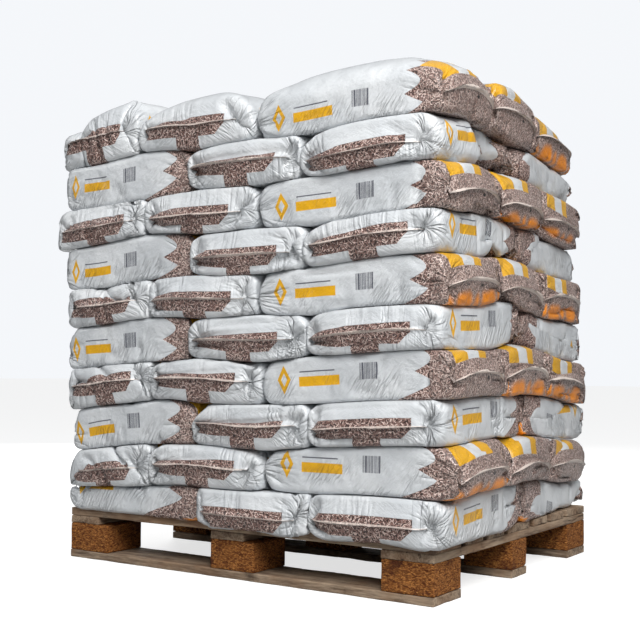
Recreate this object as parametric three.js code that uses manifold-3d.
// A loaded pallet: ten layers of filled film sacks, seven to a layer, on a 1200 x 1000 mm block pallet.
// Millimetres, +Z up. The origin is on the floor, under the middle of the pallet.
// +X runs along the pallet's runners, and -Y is the side that the forks enter between the runners' blocks.
import * as THREE from "three";
import Module from "manifold-3d";

const wasm = await Module();
wasm.setup();

// Driving dimensions
const palletLength = 1200; // along X
const palletDepth = 1000; // along Y
const boardThickness = 22; // runners, stringers and deck boards
const blockHeight = 78;
const blockLength = 145; // along X, all nine blocks
const runnerWidths = [145, 100, 145]; // front, middle and rear rows, along Y
const runnerCornerCut = 18; // the sawn-off corners of the outer runners
const blockCornerRadius = 7;
const stringerWidths = [110, 110, 145]; // left, middle and right, along X
const deckBoardWidths = [145, 100, 100, 145, 100, 100, 145]; // front to rear

const layerCount = 10;
const layerPitch = 113;
const restGap = 0.3; // between one layer and what it lies on
const crownHeight = 190; // a sack of the top layer, which nothing presses flat
const crownWidth = 375; // the most that the upper part of such a sack fills, of its place's width
const outerDrop = 16; // how much lower the outer two of the top layer's row of three are
const crownLean = 54; // how much the top layer's leftmost two fall from their right side to their left
// How far each layer reaches past the pallet's left end and, at its front and rear corners, past its right end,
// bottom layer first.
const leftReach = [-18, -11, -18, 8, 6, 15, 20, 62, 28, 49];
const rightFrontReach = [38, 64, 35, 41, 27, 34, 23, 29, 16, 12];
const rightRearReach = [-16, -8, -15, -6, -27, -15, -45, -22, -52, -48];
// Where the two grooves that run across a layer lie along X.
const firstGroove = [-104, -281, -126, -280, -148, -291, -144, -315, -157, -346];
const secondGroove = [255, 107, 252, 104, 244, 84, 231, 80, 218, 71];
const endReach = 10; // past the pallet's front and rear, of the sacks that lie across it
const sideReach = 13; // the same, of the sacks that lie along it
const seamReach = 29; // how much further an outer seam stands out
const lowestTilt = 31; // how far the right end of the lowest level between layers lies above its left end
const highestTilt = 45; // the same, of the highest level
const lowestSag = 22; // how far the lowest level lies under an even stack's, where the first layer is pressed thin
const fuse = 3; // how far a sack presses into its neighbour in the layer

const seamThickness = 5;
const shoulderLength = 40; // from a sack's seam to where it is at its full height and width
const bluntLength = 28; // the same, at the end that is inside the stack
const seamNarrowing = 0.6; // the seam's length as a share of the sack's width

const deckTop = 3 * boardThickness + blockHeight;

// Materials
const finish = (color, roughness) =>
  new THREE.MeshStandardMaterial({ color, roughness, metalness: 0 });
const film = finish(0xd5dce2, 0.42);
const boardWood = finish(0x8d7660, 0.85);
const blockWood = finish(0xa0683a, 0.9);

const pallet = new THREE.Group();
const load = new THREE.Group();

function addMesh(group, name, geometry, material) {
  const mesh = new THREE.Mesh(geometry, material);
  mesh.name = name;
  group.add(mesh);
  return mesh;
}

// The pallet
// A board or block between two corners, with its four upright edges cut or rounded.
function slab(low, high, corner = 0, round = false) {
  const [x0, y0] = low;
  const [x1, y1] = high;
  const outline = new THREE.Shape();
  if (corner === 0) {
    outline.moveTo(x0, y0).lineTo(x1, y0).lineTo(x1, y1).lineTo(x0, y1);
  } else {
    outline.moveTo(x0 + corner, y0).lineTo(x1 - corner, y0);
    turn(outline, x1, y0, x1, y0 + corner, round);
    outline.lineTo(x1, y1 - corner);
    turn(outline, x1, y1, x1 - corner, y1, round);
    outline.lineTo(x0 + corner, y1);
    turn(outline, x0, y1, x0, y1 - corner, round);
    outline.lineTo(x0, y0 + corner);
    turn(outline, x0, y0, x0 + corner, y0, round);
  }
  const geometry = new THREE.ExtrudeGeometry(outline, {
    depth: high[2] - low[2],
    bevelEnabled: false,
    curveSegments: 2,
  });
  return geometry.translate(0, 0, low[2]);
}

function turn(outline, cornerX, cornerY, x, y, round) {
  if (round) outline.quadraticCurveTo(cornerX, cornerY, x, y);
  else outline.lineTo(x, y);
}

// The low and high edges of pieces that share a span: the outer two flush with its ends, the rest evenly spaced.
function spread(span, widths) {
  const gap = (span - widths.reduce((a, b) => a + b)) / (widths.length - 1);
  let from = -span / 2;
  return widths.map((width) => {
    const edges = [from, from + width];
    from += width + gap;
    return edges;
  });
}

const blockSpans = spread(palletLength, [blockLength, blockLength, blockLength]);
const rowSpans = spread(palletDepth, runnerWidths);
const rowNames = ["front", "middle", "rear"];
const columnNames = ["left", "centre", "right"];

function addPallet() {
  const runnerTop = boardThickness;
  const blockTop = runnerTop + blockHeight;
  const stringerTop = blockTop + boardThickness;
  const halfLength = palletLength / 2;
  const halfDepth = palletDepth / 2;
  rowSpans.forEach(([y0, y1], row) => {
    const cut = row === 1 ? 0 : runnerCornerCut;
    const runner = slab([-halfLength, y0, 0], [halfLength, y1, runnerTop], cut);
    addMesh(pallet, `bottom_runner_${rowNames[row]}`, runner, boardWood);
    blockSpans.forEach(([x0, x1], column) => {
      const block = slab([x0, y0, runnerTop], [x1, y1, blockTop], blockCornerRadius, true);
      addMesh(pallet, `block_${rowNames[row]}_${columnNames[column]}`, block, blockWood);
    });
  });
  // Each stringer starts at its blocks' left edge, and the narrow ones don't reach the other.
  stringerWidths.forEach((width, column) => {
    const x0 = blockSpans[column][0];
    const stringer = slab([x0, -halfDepth, blockTop], [x0 + width, halfDepth, stringerTop]);
    addMesh(pallet, `stringer_${columnNames[column]}`, stringer, boardWood);
  });
  spread(palletDepth, deckBoardWidths).forEach(([y0, y1], i) => {
    const board = slab([-halfLength, y0, stringerTop], [halfLength, y1, deckTop]);
    addMesh(pallet, `deck_board_${i + 1}`, board, boardWood);
  });
}

// The sacks
// Half of a sack's cross-section, from its top to its bottom: how far it is drawn in from its side, in millimetres,
// and where it lies between its seam's level and its top or bottom, as a share.
const pressedSection = [
  [35, 1],
  [12, 0.84],
  [0, 0.42],
  [0, -0.5],
  [9, -0.86],
  [27, -1],
];
const crownedSection = [
  [136, 1],
  [94, 0.94],
  [58, 0.8],
  [26, 0.52],
  [6, 0.16],
  [0, -0.1],
  [0, -0.5],
  [12, -0.86],
  [32, -1],
];

// The whole section as a ring, anticlockwise seen from the sack's outer end.
function ringOf(width, crowned) {
  const fullness = Math.min(1, width / crownWidth);
  const half = (crowned ? crownedSection : pressedSection).map(([inset, z]) => {
    if (!crowned || z < 0) return [width / 2 - inset, z];
    return [Math.min(width, crownWidth) / 2 - inset * fullness ** 3, z];
  });
  const left = half.map(([y, z]) => [-y, z]);
  return [...half.reverse(), ...left];
}

// Stations along a sack, from its end inside the stack to its outer end: where, the share of the width and the
// share of the height. A height of 0 is the flat seam.
function pressedStations(length) {
  const end = length / 2;
  return [
    [-end, 1, 0.8],
    [-end + bluntLength, 1, 1],
    [end - shoulderLength, 1, 1],
    [end - shoulderLength * 0.52, 0.98, 0.94],
    [end - shoulderLength * 0.35, 0.86, 0.7],
    [end - shoulderLength * 0.15, 0.73, 0.42],
    [end, seamNarrowing, 0],
  ];
}

function crownedStations(length) {
  const end = length / 2;
  return [
    [-end, 0.98, 0.66],
    [-end + bluntLength, 1, 0.87],
    [-end + bluntLength * 2.2, 1, 0.96],
    [-end * 0.2, 1, 1],
    [end * 0.35, 1, 0.98],
    [end - shoulderLength * 2, 1, 0.87],
    [end - shoulderLength * 0.9, 1, 0.73],
    [end - shoulderLength * 0.52, 0.97, 0.62],
    [end - shoulderLength * 0.3, 0.84, 0.38],
    [end - shoulderLength * 0.13, 0.72, 0.18],
    [end, seamNarrowing, 0],
  ];
}

// A filled sack lying along X, centred on the origin in plan, from its underside at z 0.
function sackGeometry(length, width, height, crowned) {
  const ring = ringOf(width, crowned);
  const stations = crowned ? crownedStations(length) : pressedStations(length);
  const seamLevel = crowned ? layerPitch / 2 : height / 2;
  const positions = [];
  for (const [x, widthShare, heightShare] of stations) {
    for (const [y, z] of ring) {
      const reach = z > 0 ? height - seamLevel : seamLevel;
      // The underside stays down on what it lies on, and only rounds up to the seam near an end.
      const share = z > 0 || !crowned ? heightShare : Math.min(1, heightShare * 1.5);
      const rise = Math.max(share * reach, seamThickness / 2);
      positions.push(x, y * widthShare, seamLevel + z * rise);
    }
  }
  const count = ring.length;
  const index = [];
  for (let s = 0; s < stations.length - 1; s++) {
    for (let i = 0; i < count; i++) {
      const a = s * count + i;
      const b = s * count + ((i + 1) % count);
      index.push(a, b, b + count, a, b + count, a + count);
    }
  }
  const last = (stations.length - 1) * count;
  for (let i = 1; i < count - 1; i++) {
    index.push(0, i + 1, i);
    index.push(last, last + i, last + i + 1);
  }
  return new THREE.BufferGeometry()
    .setAttribute("position", new THREE.Float32BufferAttribute(positions, 3))
    .setIndex(index);
}

function toSolid(geometry) {
  return new wasm.Manifold(
    new wasm.Mesh({
      numProp: 3,
      vertProperties: geometry.attributes.position.array,
      triVerts: new Uint32Array(geometry.index.array),
    }),
  );
}

function toGeometry(solid) {
  const mesh = solid.getMesh();
  return new THREE.BufferGeometry()
    .setAttribute("position", new THREE.BufferAttribute(mesh.vertProperties, 3))
    .setIndex(new THREE.BufferAttribute(mesh.triVerts, 1));
}

// The seven places of a layer in plan: [x0, x1, y0, y1, turn], where turn is the heading of the sack's outer end.
// The first layer and every other one has its row of three sacks at the left, the rest have it at the right.
function layerPlaces(layer) {
  const rowAtLeft = layer % 2 === 0;
  const left = -palletLength / 2 - leftReach[layer];
  const right = palletLength / 2 + rightFrontReach[layer];
  const edges = [left, firstGroove[layer], secondGroove[layer], right];
  const places = [];
  const rowDepth = palletDepth + 2 * sideReach;
  for (let i = 0; i < 3; i++) {
    const y0 = -rowDepth / 2 + (i * rowDepth) / 3;
    const y1 = y0 + rowDepth / 3;
    if (rowAtLeft) places.push([edges[0], edges[1], y0, y1, Math.PI]);
    else places.push([edges[2], edges[3], y0, y1, 0]);
  }
  const reach = palletDepth / 2 + endReach;
  for (const [y0, y1] of [[-reach, 0], [0, reach]]) {
    const from = rowAtLeft ? 1 : 0;
    const heading = y0 < 0 ? -Math.PI / 2 : Math.PI / 2;
    places.push([edges[from], edges[from + 1], y0, y1, heading]);
    places.push([edges[from + 1], edges[from + 2], y0, y1, heading]);
  }
  return places;
}

// How far a point of a layer moves along X, as the layer's right end is skewed from its front to its rear reach.
function skewAt(layer, x, y) {
  const groove = secondGroove[layer];
  const right = palletLength / 2 + rightFrontReach[layer];
  const along = Math.min(1, Math.max(0, (x - groove) / (right - groove)));
  const share = Math.min(1, Math.max(0, y / palletDepth + 0.5));
  return (rightRearReach[layer] - rightFrontReach[layer]) * along * share;
}

// The height of a level at a place along X: 0 is the deck, and the levels between the layers lean to the left.
function levelAt(level, x) {
  const plain = deckTop + level * layerPitch;
  if (level === 0) return plain;
  const share = Math.min(1, (level - 1) / (layerCount - 2));
  const tilt = lowestTilt + (highestTilt - lowestTilt) * share;
  return plain - lowestSag * (1 - share) + (tilt * x) / palletLength;
}

// How much higher the top layer's leftmost sacks are at a place along X, as a share of the height above their seam.
function leanAt(layer, x) {
  const left = -palletLength / 2 - leftReach[layer];
  const share = (x - left) / (firstGroove[layer] - left);
  return share < 1 ? crownLean * (share - 0.5) : 0;
}

// One layer: seven sacks pressed together, with the grooves between them open above, below and outside.
function layerSolid(layer) {
  const crowned = layer === layerCount - 1;
  const sacks = layerPlaces(layer).map(([x0, x1, y0, y1, heading]) => {
    const across = Math.abs(Math.sin(heading)) > 0.5;
    const length = across ? y1 - y0 : x1 - x0;
    const width = across ? x1 - x0 : y1 - y0;
    const drop = !across && y0 * y1 > 0 ? outerDrop : 0;
    const height = crowned ? crownHeight - drop : layerPitch - restGap;
    const outward = new THREE.Vector2(Math.cos(heading), Math.sin(heading));
    const geometry = sackGeometry(length + fuse + seamReach, width + 2 * fuse, height, crowned);
    geometry.rotateZ(heading);
    geometry.translate(
      (x0 + x1) / 2 + (outward.x * (seamReach - fuse)) / 2,
      (y0 + y1) / 2 + (outward.y * (seamReach - fuse)) / 2,
      0,
    );
    return toSolid(geometry);
  });
  // Upright at first, then skewed and leant: its underside onto one level, its pressed top onto the next.
  return sacks.reduce((whole, sack) => whole.add(sack)).warp((point) => {
    point[0] += skewAt(layer, point[0], point[1]);
    const low = levelAt(layer, point[0]) + restGap;
    const high = levelAt(layer + 1, point[0]);
    const lean = crowned ? leanAt(layer, point[0]) * (point[2] / crownHeight) : 0;
    point[2] = low + (point[2] / (layerPitch - restGap)) * (high - low) + lean;
  });
}

function addLoad() {
  for (let layer = 0; layer < layerCount; layer++) {
    const name = `sack_layer_${String(layer + 1).padStart(2, "0")}`;
    addMesh(load, name, toGeometry(layerSolid(layer)), film);
  }
}

addPallet();
addLoad();
const loadedPallet = new THREE.Group();
loadedPallet.add(pallet, load);

export default loadedPallet;
